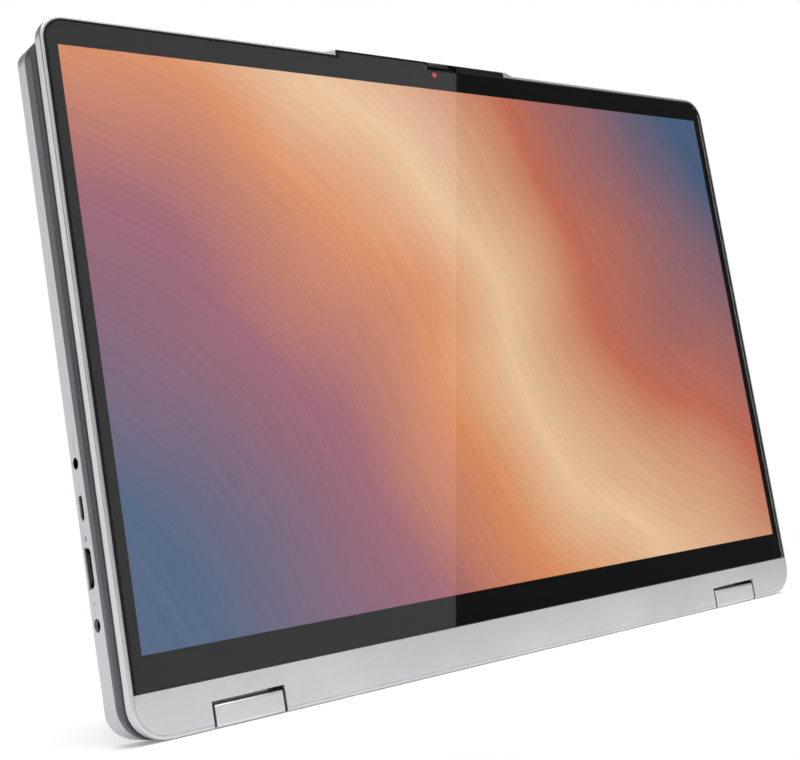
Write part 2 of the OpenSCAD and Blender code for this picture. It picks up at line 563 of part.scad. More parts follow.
lid_cover();
lid_gasket();
screen_glass();
lcd_panel();
chin_cover();
camera_module();
camera_shutter();
lid_hinge_brackets();
lid_hinge_shafts();
display_board();
wifi_antennas();
lid_magnets();
hinge_link_left();
hinge_link_right();
hinge_link_caps();
idler_gears_lid_side();
idler_gears_base_side();
deck_cover();
bottom_cover();
rubber_feet();
bottom_screws();
base_hinge_brackets();
base_hinge_shafts();
motherboard();
board_chips();
heat_pipe();
fan_housing();
fan_rotor();
cooling_fins();
battery_cells();
battery_frame();
ssd_module();
wifi_card();
speakers();
io_board();
keyboard_plate();
keyboard_web();
touchpad();
touchpad_board();
hdmi_socket();
usb_c_socket();
audio_socket();
power_socket();
usb_a_sockets();
card_reader();
power_button();
status_led();
fingerprint_sensor();
function_keys();
number_keys();
upper_letter_keys();
home_letter_keys();
lower_letter_keys();
modifier_keys();
space_bar();
enter_key();
backspace_key();
arrow_keys();
numpad_keys();
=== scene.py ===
# %% [markdown]
# # A convertible laptop computer, folded round into tablet form
# The measured model comes first, as a fixed frame. Everything made here is placed from it, in metres.
# +Z runs up the display, the display faces -Y, the keys face +Y.

# %% Load the frame
import bmesh
import bpy
import math
from mathutils import Matrix, Vector


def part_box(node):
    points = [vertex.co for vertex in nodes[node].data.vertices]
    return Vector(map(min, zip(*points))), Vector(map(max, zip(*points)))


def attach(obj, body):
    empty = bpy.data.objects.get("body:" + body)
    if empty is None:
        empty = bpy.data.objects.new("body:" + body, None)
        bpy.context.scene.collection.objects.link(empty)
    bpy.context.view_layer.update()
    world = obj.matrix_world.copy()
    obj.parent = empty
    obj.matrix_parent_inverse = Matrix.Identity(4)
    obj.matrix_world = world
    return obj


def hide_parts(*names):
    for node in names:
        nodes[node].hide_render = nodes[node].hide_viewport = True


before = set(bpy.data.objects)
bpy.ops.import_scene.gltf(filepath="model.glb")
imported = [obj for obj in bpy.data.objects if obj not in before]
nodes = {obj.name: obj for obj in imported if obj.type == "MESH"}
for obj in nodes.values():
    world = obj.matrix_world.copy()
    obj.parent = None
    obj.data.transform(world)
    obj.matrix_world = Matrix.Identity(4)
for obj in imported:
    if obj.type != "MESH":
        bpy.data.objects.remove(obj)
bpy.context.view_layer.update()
MM = 0.001
BROAD = 2.5  # mm, the width from which a face counts as broad

# %% [markdown]
# A box is stated by two opposite corners in millimetres. Its edges are then rounded with bevels, the
# way a milled part is: first the corners seen from the front, then the rim of each large face.

# %% Helpers for shapes
def mm_box(name):
    """A node's low and high corner in millimetres."""
    low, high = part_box(name)
    return [v / MM for v in low], [v / MM for v in high]


def block(low, high):
    bm = bmesh.new()
    bmesh.ops.create_cube(bm, size=1.0)
    size = [b - a for a, b in zip(low, high)]
    middle = [(a + b) / 2 for a, b in zip(low, high)]
    bmesh.ops.scale(bm, vec=size, verts=bm.verts)
    bmesh.ops.translate(bm, vec=middle, verts=bm.verts)
    return bm


def round_edges(bm, chosen, radius, segments=3):
    edges = [e for e in bm.edges if chosen(e.verts[0].co, e.verts[1].co)]
    if edges and radius > 0:
        bmesh.ops.bevel(bm, geom=edges, offset=radius, offset_type="OFFSET", affect="EDGES",
                        segments=segments, profile=0.5, material=-1, clamp_overlap=True)


def slab(low, high, top=1.0, bottom=1.0, front=0.0, back=0.0, steps=8, rim_steps=3):
    """A plate facing -Y: corner radii at its top and bottom, and rim radii on its two faces."""
    bm = block(low, high)
    near = 1e-4
    for level, radius in ((high[2], top), (low[2], bottom)):
        round_edges(bm, lambda a, b: abs(a.x - b.x) < near and abs(a.z - b.z) < near
                    and abs(a.z - level) < near, radius, steps)
    for level, radius in ((low[1], front), (high[1], back)):
        round_edges(bm, lambda a, b: abs(a.y - level) < near and abs(b.y - level) < near,
                    radius, rim_steps)
    return bm


def merge(*parts):
    """Several loose shapes in one mesh."""
    whole = bmesh.new()
    for part in parts:
        mesh = bpy.data.meshes.new("part")
        part.to_mesh(mesh)
        whole.from_mesh(mesh)
        part.free()
        bpy.data.meshes.remove(mesh)
    return whole


def finish_piece(name, bm, materials, body, replaced=(), sharp=32.0, scale=MM):
    """Turns a shape in millimetres into a shown piece that moves with a body."""
    bmesh.ops.scale(bm, vec=(scale,) * 3, verts=bm.verts)
    bmesh.ops.recalc_face_normals(bm, faces=bm.faces)
    for face in bm.faces:
        face.smooth = True
    # a broad flat face keeps its own normal, so that its reflections stay straight
    broad = {f for f in bm.faces if f.calc_area() > BROAD * MM * f.calc_perimeter() / 2}
    for edge in bm.edges:
        angle = edge.calc_face_angle(0.0)
        edge.smooth = angle < math.radians(sharp) and not (angle > 0.01 and broad & set(edge.link_faces))
    mesh = bpy.data.meshes.new(name)
    bm.to_mesh(mesh)
    bm.free()
    piece = bpy.data.objects.new(name, mesh)
    bpy.context.scene.collection.objects.link(piece)
    for material in materials if isinstance(materials, (list, tuple)) else [materials]:
        mesh.materials.append(material)
    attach(piece, body)
    if replaced:
        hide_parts(*replaced)
    print(f"{name}: {len(mesh.polygons)} faces")
    return piece


def carve(bm, *cutters, operation="DIFFERENCE"):
    """Cuts shapes out of a shape, in millimetres, with an exact boolean."""
    def loan(shape, label):
        mesh = bpy.data.meshes.new(label)
        shape.to_mesh(mesh)
        shape.free()
        thing = bpy.data.objects.new(label, mesh)
        bpy.context.scene.collection.objects.link(thing)
        return thing
    target = loan(bm, "target")
    tools = [loan(cutter, "tool") for cutter in cutters]
    for tool in tools:
        step = target.modifiers.new("cut", "BOOLEAN")
        step.operation, step.object, step.solver = operation, tool, "EXACT"
    graph = bpy.context.evaluated_depsgraph_get()
    result = bmesh.new()
    result.from_mesh(target.evaluated_get(graph).to_mesh())
    for thing in [target, *tools]:
        mesh = thing.data
        bpy.data.objects.remove(thing)
        bpy.data.meshes.remove(mesh)
    bmesh.ops.remove_doubles(result, verts=result.verts, dist=1e-4)
    return result


def rod(p, q, radius, sides=32, cap=0.0):
    """A round bar between two points, with the rim of its ends rounded."""
    bm = bmesh.new()
    p, q = Vector(p), Vector(q)
    bmesh.ops.create_cone(bm, cap_ends=True, segments=sides, radius1=radius, radius2=radius,
                          depth=(q - p).length)
    if cap:
        half = (q - p).length / 2
        round_edges(bm, lambda a, b: abs(abs(a.z) - half) < 1e-4 and abs(a.z - b.z) < 1e-4, cap, 2)
    turn = (q - p).to_track_quat("Z", "Y").to_matrix().to_4x4()
    bmesh.ops.transform(bm, matrix=Matrix.Translation((p + q) / 2) @ turn, verts=bm.verts)
    return bm

# %% [markdown]
# Colours are written as on a paint card, in sRGB hex, and turned to the linear values that light
# works in. One small function adds a node with its settings and its links.

# %% Helpers for materials
def linear(code, alpha=1.0):
    channels = [int(code[i:i + 2], 16) / 255 for i in (1, 3, 5)]
    curve = [c / 12.92 if c <= 0.04045 else ((c + 0.055) / 1.055) ** 2.4 for c in channels]
    return (*curve, alpha)


def add(tree, kind, inputs=None, **settings):
    """Adds one node; an input is a value, or a socket to link from."""
    node = tree.nodes.new(kind)
    for key, value in settings.items():
        setattr(node, key, value)
    for key, value in (inputs or {}).items():
        if isinstance(value, bpy.types.NodeSocket):
            tree.links.new(value, node.inputs[key])
        else:
            node.inputs[key].default_value = value
    return node


def new_material(name):
    material = bpy.data.materials.new(name)
    material.use_nodes = True
    material.node_tree.nodes.clear()
    return material, material.node_tree


def ramp(tree, fac, stops, mode="LINEAR"):
    node = add(tree, "ShaderNodeValToRGB", {"Fac": fac})
    node.color_ramp.interpolation = mode
    marks = node.color_ramp.elements
    while len(marks) < len(stops):
        marks.new(0.5)
    for mark, (place, colour) in zip(marks, stops):
        mark.position, mark.color = place, linear(colour)
    return node.outputs["Color"]


def surface(name, dark, light, rough, grain_mm, bump=0.1, metallic=0.0, cloud_mm=40.0, stretch=(1, 1, 1),
            **sockets):
    """A principled surface whose colour drifts in soft clouds and whose fine grain breaks its gloss."""
    material, tree = new_material(name)
    place = add(tree, "ShaderNodeTexCoord").outputs["Object"]
    drawn = add(tree, "ShaderNodeMapping", {"Vector": place, "Scale": stretch}).outputs["Vector"]
    cloud = add(tree, "ShaderNodeTexNoise", {"Vector": place, "Scale": 1 / (cloud_mm * MM), "Detail": 3.0})
    grain = add(tree, "ShaderNodeTexNoise", {"Vector": drawn, "Scale": 1 / (grain_mm * MM), "Detail": 4.0,
                                             "Roughness": 0.62})
    blend = add(tree, "ShaderNodeMath", {0: grain.outputs["Fac"], 1: 0.45, 2: 0.0},
                operation="MULTIPLY_ADD")
    tree.links.new(add(tree, "ShaderNodeMath", {0: cloud.outputs["Fac"], 1: 0.55},
                       operation="MULTIPLY").outputs[0], blend.inputs[2])
    colour = ramp(tree, blend.outputs[0], ((0.36, dark), (0.64, light)))
    gloss = add(tree, "ShaderNodeMapRange", {"Value": blend.outputs[0], "From Min": 0.3, "From Max": 0.7,
                                             "To Min": rough[0], "To Max": rough[1]})
    relief = add(tree, "ShaderNodeBump", {"Height": grain.outputs["Fac"], "Strength": bump,
                                          "Distance": grain_mm * MM * 0.25})
    shader = add(tree, "ShaderNodeBsdfPrincipled", {"Base Color": colour, "Metallic": metallic,
                 "Roughness": gloss.outputs[0], "Normal": relief.outputs["Normal"], **sockets})
    add(tree, "ShaderNodeOutputMaterial", {"Surface": shader.outputs["BSDF"]})
    return material

# %% [markdown]
# **The metals.** The shells are sheet aluminium, bead blasted and then anodised. Blasting leaves a
# fine even grain of about 0.1 mm, drawn here at 0.35 mm so that it shows, and a soft broad highlight.

# %% Metals
silver = surface("bead_blasted_anodised_aluminium", "#c5c6c8", "#cbccce", (0.43, 0.47), 0.35, 0.12, 0.85)
silver_chin = surface("satin_anodised_aluminium_chin", "#c3c5c7", "#d2d3d5", (0.38, 0.46), 0.30, 0.08, 0.75)
deck_metal = surface("blasted_aluminium_deck", "#bbbdc0", "#c2c4c6", (0.44, 0.49), 0.35, 0.14, 0.8)
bottom_metal = surface("dark_painted_magnesium_bottom", "#545659", "#5f6164", (0.45, 0.58), 0.5, 0.2, 0.35)
hinge_cover = surface("satin_anodised_hinge_cover", "#c6c7c9", "#d4d5d6", (0.34, 0.42), 0.30, 0.08, 0.8)
turned_steel = surface("turned_steel_shaft", "#7d7e80", "#9a9b9d", (0.28, 0.4), 0.4, 0.15, 1.0,
                       stretch=(6, 1, 1))
stamped_steel = surface("stamped_steel_plate", "#8b8c8e", "#a9aaac", (0.3, 0.45), 0.6, 0.1, 1.0)
nickel = surface("nickel_plated_socket_shell", "#8f8c86", "#b3b0a9", (0.22, 0.34), 0.5, 0.08, 1.0)
copper = surface("drawn_copper_heat_pipe", "#b8744e", "#cf8a60", (0.25, 0.4), 0.8, 0.1, 1.0,
                 stretch=(1, 4, 1))
fin_metal = surface("rolled_aluminium_fins", "#a9abad", "#c2c3c5", (0.3, 0.42), 0.5, 0.1, 1.0)
gold_foil = surface("gold_plated_antenna_foil", "#b98d3f", "#d6ac5c", (0.25, 0.4), 0.6, 0.08, 1.0)
print("metals ready")

# %% [markdown]
# **Plastics and rubber.** Moulded parts show the spark-eroded texture of their mould, a few tenths
# of a millimetre, and rubber is duller, with a softer grain.

# %% Plastics, rubber and boards
gasket_rubber = surface("moulded_silicone_gasket", "#0d0d0e", "#161617", (0.6, 0.75), 0.5, 0.2,
                        **{"Specular IOR Level": 0.2})
foot_rubber = surface("moulded_rubber_foot", "#19191a", "#272728", (0.6, 0.8), 0.6, 0.3)
key_plastic = surface("textured_abs_keycap", "#34363a", "#3e4044", (0.48, 0.6), 0.30, 0.18)
key_ink = surface("laser_cleared_legend", "#c9cbcc", "#dddedf", (0.5, 0.6), 0.5, 0.02)
web_plastic = surface("moulded_abs_key_frame", "#8f9194", "#9d9fa2", (0.45, 0.58), 0.4, 0.15, 0.3)
black_plastic = surface("moulded_black_nylon", "#161617", "#232324", (0.5, 0.66), 0.5, 0.25)
socket_plastic = surface("moulded_liquid_crystal_polymer", "#070708", "#0e0e0f", (0.6, 0.75), 0.4, 0.1,
                         **{"Specular IOR Level": 0.12})
fan_plastic = surface("moulded_glass_filled_fan", "#1d1f21", "#2b2d2f", (0.45, 0.6), 0.7, 0.2)
# the red shutter also glows a little: a painted glow that brightens it in the shade behind the glass
red_plastic_painted_glow = surface("moulded_red_shutter_painted_glow", "#e8284c", "#ff4468", (0.4, 0.5), 0.4, 0.1,
                      **{"Emission Color": linear("#ff2f58"), "Emission Strength": 0.35})
chip_epoxy = surface("moulded_epoxy_chip", "#1c1c1e", "#2a2a2d", (0.55, 0.7), 0.4, 0.2)
cell_wrap = surface("wrapped_battery_pouch", "#26272b", "#3a3b40", (0.25, 0.4), 3.0, 0.25, 0.4)
touch_glass = surface("etched_touchpad_glass", "#b1b3b6", "#b6b8bb", (0.36, 0.40), 0.3, 0.04, 0.35)
sensor_glass = surface("coated_sensor_window", "#303236", "#3b3d41", (0.15, 0.25), 0.5, 0.03)
lens_plastic = surface("clear_lamp_lens", "#8d9194", "#a5a9ac", (0.2, 0.3), 0.4, 0.03)
mark_ink = surface("printed_grey_mark", "#6f7174", "#808285", (0.5, 0.6), 0.4, 0.02)


def board_material(name):
    """Green solder mask over copper tracks, as right-angled lines in a 6 mm brick pattern."""
    material, tree = new_material(name)
    place = add(tree, "ShaderNodeTexCoord").outputs["Object"]
    tracks = add(tree, "ShaderNodeTexBrick", {"Vector": place, "Scale": 1 / (6.0 * MM), "Mortar Size": 0.03,
                 "Color1": linear("#0d4a33"), "Color2": linear("#125c40"), "Mortar": linear("#2a7a58")})
    grain = add(tree, "ShaderNodeTexNoise", {"Vector": place, "Scale": 1 / (0.8 * MM), "Detail": 4.0})
    gloss = add(tree, "ShaderNodeMapRange", {"Value": grain.outputs["Fac"], "To Min": 0.25, "To Max": 0.45})
    relief = add(tree, "ShaderNodeBump", {"Height": tracks.outputs["Fac"], "Strength": 0.3,
                                          "Distance": 0.05 * MM})
    shader = add(tree, "ShaderNodeBsdfPrincipled", {"Base Color": tracks.outputs["Color"],
                 "Roughness": gloss.outputs[0], "Normal": relief.outputs["Normal"]})
    add(tree, "ShaderNodeOutputMaterial", {"Surface": shader.outputs["BSDF"]})
    return material


circuit_board = board_material("solder_masked_circuit_board")
print("plastics ready")

# %% [markdown]
# **The lit picture.** The panel glows. It shows a plain blend of a few colours from corner to corner,
# with one slow wave, a soft drift and fine streaks, as any stock background might.

# %% The picture
PICTURE_W, PICTURE_H, PICTURE_Z = 344.7, 215.4, 29.0
# from the lower left corner to the upper right one: blue, rose, apricot, sand, coral, blue
PALETTE = ((0.10, "#4a6080"), (0.30, "#a06070"), (0.43, "#e09060"), (0.53, "#f0c8a0"), (0.68, "#c87058"),
           (0.90, "#4a6080"))
BLEND_RATE, WAVE_RATE, WAVE_DEPTH = 0.16, 1.3, 0.06
DRIFT_MM, DRIFT_DEPTH = 110.0, 0.16
STREAKS, STREAK_DEPTH = 45.0, 0.28


def picture_material():
    material, tree = new_material("lit_liquid_crystal_picture")

    def calc(operation, a, b=0.0, c=0.0):
        return add(tree, "ShaderNodeMath", {0: a, 1: b, 2: c}, operation=operation).outputs[0]

    place = add(tree, "ShaderNodeTexCoord").outputs["Object"]
    axes = add(tree, "ShaderNodeSeparateXYZ", {"Vector": place}).outputs
    half = PICTURE_H / 2 * MM
    across = calc("DIVIDE", axes["X"], half)
    up = calc("DIVIDE", calc("SUBTRACT", axes["Z"], (PICTURE_Z + PICTURE_H / 2) * MM), half)
    climb, fall = calc("ADD", across, up), calc("SUBTRACT", across, up)
    wave = calc("MULTIPLY", calc("SINE", calc("MULTIPLY", fall, WAVE_RATE)), WAVE_DEPTH)
    cloud = add(tree, "ShaderNodeTexNoise", {"Vector": place, "Scale": 1 / (DRIFT_MM * MM), "Detail": 1.0})
    drift = calc("MULTIPLY", calc("SUBTRACT", cloud.outputs["Fac"], 0.5), DRIFT_DEPTH)
    level = calc("ADD", calc("MULTIPLY_ADD", climb, BLEND_RATE, 0.5), calc("ADD", wave, drift))
    bent = calc("ADD", climb, calc("MULTIPLY", wave, 1 / BLEND_RATE))
    lane = add(tree, "ShaderNodeCombineXYZ", {"X": calc("MULTIPLY", bent, STREAKS), "Y": fall})
    noise = add(tree, "ShaderNodeTexNoise", {"Vector": lane.outputs[0], "Scale": 1.0, "Detail": 4.0})
    shade = calc("MULTIPLY_ADD", calc("SUBTRACT", noise.outputs["Fac"], 0.5), STREAK_DEPTH, 1.0)
    lit = add(tree, "ShaderNodeVectorMath", {0: ramp(tree, level, PALETTE), "Scale": shade},
              operation="SCALE").outputs[0]
    # bonded behind the glass, so it has no gloss of its own
    shader = add(tree, "ShaderNodeBsdfPrincipled", {"Base Color": linear("#040405"), "Roughness": 0.6,
                 "Specular IOR Level": 0.0, "Emission Color": lit, "Emission Strength": 1.0})
    add(tree, "ShaderNodeOutputMaterial", {"Surface": shader.outputs["BSDF"]})
    return material


picture = picture_material()
print("picture ready")

# %% [markdown]
# **Glass.** The cover is chemically hardened glass, 0.9 mm thick, polished, IOR 1.5. A black print on
# its back hides the edge of the panel.

# %% Glass and black print
def glass_material():
    material, tree = new_material("hardened_cover_glass")
    place = add(tree, "ShaderNodeTexCoord").outputs["Object"]
    # faint wiping marks, a few centimetres long, vary the polish
    wipe = add(tree, "ShaderNodeTexNoise", {"Vector": place, "Scale": 1 / (35 * MM), "Detail": 5.0})
    gloss = add(tree, "ShaderNodeMapRange", {"Value": wipe.outputs["Fac"], "From Min": 0.35,
                "From Max": 0.7, "To Min": 0.004, "To Max": 0.02})
    shader = add(tree, "ShaderNodeBsdfPrincipled", {"Base Color": linear("#fdfefe"), "IOR": 1.5,
                 "Roughness": gloss.outputs[0], "Transmission Weight": 1.0})
    add(tree, "ShaderNodeOutputMaterial", {"Surface": shader.outputs["BSDF"]})
    return material


cover_glass = glass_material()
# bonded to the glass, so it has no gloss of its own
black_print = surface("black_screen_print", "#020202", "#050505", (0.5, 0.6), 0.5, 0.02,
                      **{"Specular IOR Level": 0.0})

# %% [markdown]
# **The lid cover** is a shallow tray with a bright cut edge round the glass. A raised lip in the middle
# of its top edge gives the fingers a hold and makes room for the camera.

# %% Lid cover
lid_low, lid_high = mm_box("lid_cover")
chin_low, chin_high = mm_box("chin_cover")
HALF_W = lid_high[0]
LID_TOP, LIP_HEIGHT, LIP_X = 255.5, 1.4, (-52.5, 43.5)
RIM_Y, LID_BACK = lid_low[1], lid_high[1]
CORNER_HINGE, CORNER_FAR = 13.0, 9.5
LID_WALL, LID_BACK_WALL, NOTCH, NOTCH_TOP = 1.3, 0.9, (119.8, 149.4), 9.4
TRACK, TAB_END, RAISED_X = (-3.3, 41.8), 13.6, -51.2
GLASS_TOP, TRACK_Z, TRACK_DEPTH = LID_TOP - 2.3, LID_TOP - 2.4, 1.4
LIP_TOP = LID_TOP + LIP_HEIGHT
LIP_INSIDE, SEAL_TOP, RAISED_GLASS_TOP = LIP_TOP - 0.4, LIP_TOP - 0.5, LIP_TOP - 1.0


def notch_blocks(grow, y0, y1):
    return [block((s * NOTCH[0] - s * grow if s > 0 else -NOTCH[1] - grow, y0, -5),
                  (NOTCH[1] + grow if s > 0 else -NOTCH[0] + grow, y1, NOTCH_TOP + grow)) for s in (1, -1)]


tray = slab((-HALF_W, RIM_Y, 0), (HALF_W, LID_BACK, LID_TOP), CORNER_FAR, CORNER_HINGE, 0.6, 2.2, 14, 4)
LIP_RAMP = 4.0
for x in (LIP_X[0] - LIP_RAMP, LIP_X[0], LIP_X[1], LIP_X[1] + LIP_RAMP):
    bmesh.ops.bisect_plane(tray, geom=tray.verts[:] + tray.edges[:] + tray.faces[:],
                           plane_co=(x, 0, 0), plane_no=(1, 0, 0))
raised = [v for v in tray.verts if v.co.z > TRACK_Z and LIP_X[0] - 0.1 < v.co.x < LIP_X[1] + 0.1]
bmesh.ops.translate(tray, vec=(0, 0, LIP_HEIGHT), verts=raised)
hollow = slab((-HALF_W + LID_WALL, RIM_Y - 1, LID_WALL),
              (HALF_W - LID_WALL, LID_BACK - LID_BACK_WALL, LID_TOP - LID_WALL),
              CORNER_FAR - LID_WALL, CORNER_HINGE - LID_WALL, 0, 0, 14)
hollow = carve(hollow, *notch_blocks(1.0, chin_high[1] + 0.05, LID_BACK))
shutter_pocket = block((RAISED_X, RIM_Y - 1, TRACK_Z), (TRACK[1], RIM_Y + TRACK_DEPTH, LIP_INSIDE))
tray = carve(tray, hollow, shutter_pocket, *notch_blocks(0, RIM_Y - 3, LID_BACK + 3))
# the walls round the two hinge notches are coloured black over a band of about 1 mm: painted shade for the
# dark gaps round the hinge covers
NOTCH_SHADE_BAND = 1.1
for face in tray.faces:
    middle = face.calc_center_median()
    face.material_index = int(NOTCH[0] - NOTCH_SHADE_BAND < abs(middle.x) < NOTCH[1] + NOTCH_SHADE_BAND
                              and middle.y < LID_BACK - LID_BACK_WALL
                              and LID_WALL < middle.z < NOTCH_TOP + NOTCH_SHADE_BAND)
finish_piece("lid_tray", tray, [silver, black_plastic], "lid", ["lid_cover"], 25)

# %% [markdown]
# **Gasket, glass and picture.** A soft gasket stands a little proud of the glass, so the closed lid
# rests on it. Behind the glass lie the black print and the panel.

# %% Gasket, glass, print, panel
glass_low, glass_high = mm_box("screen_glass")
panel_low, panel_high = mm_box("lcd_panel")
gasket_low, gasket_high = mm_box("lid_gasket")
GASKET_W, SEAL_DEPTH = 0.9, 1.1
SEAL_FOOT = LID_TOP - LID_WALL - GASKET_W


def frame_ring(low, high, top, bottom, width, front):
    outer = slab(low, high, top, bottom, front, 0, 12, 3)
    inner = slab((low[0] + width, low[1] - 1, low[2] + width),
                 (high[0] - width, high[1] + 1, high[2] - width),
                 top - width, max(bottom - width, 0.1), 0, 0, 12)
    return carve(outer, inner)


ring = frame_ring((gasket_low[0], gasket_low[1], LID_WALL + 0.05),
                  (gasket_high[0], gasket_low[1] + SEAL_DEPTH, LID_TOP - LID_WALL - 0.05),
                  CORNER_FAR - LID_WALL, CORNER_HINGE - LID_WALL, GASKET_W, 0.3)
below_chin = block((-400, gasket_low[1] - 1, -5), (400, gasket_high[1] + 1, glass_low[2] - 0.05))
shutter_gap = block((RAISED_X + 0.5, gasket_low[1] - 1, LID_TOP - 5),
                    (TAB_END, gasket_high[1] + 1, LID_TOP + 5))
raised_seal = carve(block((RAISED_X + 0.1, gasket_low[1], SEAL_FOOT),
                          (TRACK[0] - 0.1, gasket_low[1] + SEAL_DEPTH, SEAL_TOP)),
                    block((RAISED_X + 0.9, gasket_low[1] - 1, LID_TOP - 9),
                          (TRACK[0], gasket_low[1] + 2, LIP_TOP - 0.9)))
# the black rubber that fills the shutter track beyond the tab and lines its pocket is painted shade: it
# darkens the front of the raised lip, where shade falls
SHADE_LINING_Y = RIM_Y + TRACK_DEPTH - 0.1
track_shade_fill = block((TAB_END, gasket_low[1] + 0.3, SEAL_FOOT), (TRACK[1] - 0.1, SHADE_LINING_Y, SEAL_TOP))
track_shade_lining = [block((TRACK[0], SHADE_LINING_Y, TRACK_Z), (TAB_END, RIM_Y + TRACK_DEPTH, LIP_INSIDE)),
                block((TRACK[0], RIM_Y + 0.1, LIP_INSIDE - 0.06),
                      (TAB_END, RIM_Y + TRACK_DEPTH, LIP_INSIDE))]
round_edges(track_shade_fill, lambda a, b: abs(a.y - b.y) < 1e-4 and a.y < RIM_Y, 0.15, 2)
seal = merge(carve(ring, below_chin, shutter_gap), raised_seal, track_shade_fill, *track_shade_lining)
finish_piece("rim_gasket", seal, gasket_rubber, "lid", ["lid_gasket"])
# a black paint on the edge of the glass keeps stray light out of the display
EDGE_PAINT, GLASS_CORNER, PRINT_IN = 0.06, 7.2, 0.1
RAISED_GLASS = (RAISED_X + 1.0, TRACK[0] - 0.2)
glass = slab((glass_low[0] + EDGE_PAINT, glass_low[1], glass_low[2] + EDGE_PAINT),
             (glass_high[0] - EDGE_PAINT, glass_high[1], GLASS_TOP - EDGE_PAINT),
             GLASS_CORNER - EDGE_PAINT, 0.8, 0, 0, 12)
raised = block((RAISED_GLASS[0] + EDGE_PAINT, glass_low[1], GLASS_TOP - 4),
               (RAISED_GLASS[1] - EDGE_PAINT, glass_high[1], RAISED_GLASS_TOP - EDGE_PAINT))
glass = carve(glass, raised, operation="UNION")
finish_piece("cover_glass", glass, cover_glass, "lid", ["screen_glass"])

PRINT_Y = (glass_high[1] + 0.01, glass_high[1] + 0.035)
PAINT_W, PAINT_Y = EDGE_PAINT - 0.01, glass_low[1] + 0.12
CAMERA_X, CAMERA_Z, CAMERA_R = 0.65, 251.2, 1.15
printed = slab((glass_low[0] + PRINT_IN, PRINT_Y[0], glass_low[2] + PRINT_IN),
               (glass_high[0] - PRINT_IN, PRINT_Y[1], GLASS_TOP - PRINT_IN),
               GLASS_CORNER - PRINT_IN, 0.7, 0, 0, 12)
raised_print = block((RAISED_GLASS[0], PRINT_Y[0], GLASS_TOP - PRINT_IN - 0.01),
                     (RAISED_GLASS[1], PRINT_Y[1], RAISED_GLASS_TOP))
window = block((-PICTURE_W / 2, PRINT_Y[0] - 1, PICTURE_Z),
               (PICTURE_W / 2, PRINT_Y[1] + 1, PICTURE_Z + PICTURE_H))
camera_hole = rod((CAMERA_X, PRINT_Y[0] - 1, CAMERA_Z), (CAMERA_X, PRINT_Y[1] + 1, CAMERA_Z), CAMERA_R)
edge_paint = frame_ring((glass_low[0], PAINT_Y, glass_low[2]), (glass_high[0], PRINT_Y[1], GLASS_TOP),
                        GLASS_CORNER, 0.8, PAINT_W, 0)
edge_paint = carve(edge_paint, block((RAISED_GLASS[0] + EDGE_PAINT, -20, GLASS_TOP - 2),
                                     (RAISED_GLASS[1] - EDGE_PAINT, 0, GLASS_TOP + 2)))
end_paint = block((RAISED_GLASS[1] - PAINT_W, PAINT_Y, GLASS_TOP - PRINT_IN),
                  (RAISED_GLASS[1], PRINT_Y[1], RAISED_GLASS_TOP))
finish_piece("glass_back_print", merge(carve(printed, window, camera_hole), raised_print, edge_paint,
             end_paint), black_print, "lid")

panel = slab(panel_low, (panel_high[0], panel_high[1] - 0.8, panel_high[2]), 1, 1, 0.1, 0.2, 4, 2)
for face in panel.faces:
    face.material_index = 0 if face.calc_center_median().y < panel_low[1] + 0.02 else 1
finish_piece("picture_panel", panel, [picture, stamped_steel], "lid", ["lcd_panel"])

# %% [markdown]
# **Chin.** The strip below the glass is a separate satin strip, cut out round the two hinge covers.

# %% Chin
chin = slab(chin_low, chin_high, 0.4, CORNER_HINGE - LID_WALL, 0.25, 0, 12, 3)
chin = carve(chin, *notch_blocks(0.05, chin_low[1] - 3, chin_high[1] + 3))
finish_piece("chin_strip", chin, silver_chin, "lid", ["chin_cover"], 25)

# %% [markdown]
# **Camera.** The shutter is a small red blade behind the glass. Shut, its red face fills the camera's
# hole in the black print. Its black finger tab comes up over the edge of the glass.

# %% Camera shutter
blade_low, blade_high = mm_box("camera_shutter")
BLADE_Y, BLADE_X0, BLADE_X1, BLADE_TOP = blade_high[1] - 0.3, blade_low[0] + 0.2, 9.0, 254.0
RED_END, RED_TOP, TAB_X1, TAB_Z0 = 2.9, 252.8, 8.6, 254.35
blade = merge(slab((RED_END, BLADE_Y, blade_low[2]), (BLADE_X1, blade_high[1], BLADE_TOP),
                   0.5, 0.5, 0, 0, 3),
              block((BLADE_X0, BLADE_Y, RED_TOP), (RED_END, blade_high[1], BLADE_TOP)))
red_face = block((BLADE_X0, BLADE_Y, blade_low[2]), (RED_END, blade_high[1], RED_TOP))
tab = slab((blade_low[0], blade_low[1], TAB_Z0), (TAB_X1, blade_high[1], blade_high[2]),
           0.55, 0.4, 0.25, 0.1, 4, 2)
stem = block((0, BLADE_Y, BLADE_TOP - 0.1), (5, blade_high[1], TAB_Z0 + 0.55))
for part, index in ((blade, 1), (tab, 1), (stem, 1), (red_face, 0)):
    for face in part.faces:
        face.material_index = index
moved = merge(blade, tab, stem, red_face)
finish_piece("shutter_blade", moved, [red_plastic_painted_glow, black_plastic], "camera_shutter", ["camera_shutter"])

# %% [markdown]
# **Hinge covers.** Each hinge is a sealed link that turns about two shafts at once, geared together. Its
# cover is a rounded metal bar.

# %% Hinge covers
def hinge_cover_shape(low, high, open_end):
    """A bar with rounded long edges; its open end is eased, the other one meets its neighbour."""
    bm = block(low, high)
    near = 1e-4
    round_edges(bm, lambda a, b: abs(a.y - b.y) < near and abs(a.z - b.z) < near, 0.8, 5)
    round_edges(bm, lambda a, b: abs(a.x - b.x) < near and abs(a.x - open_end) < near, 0.3, 3)
    return bm


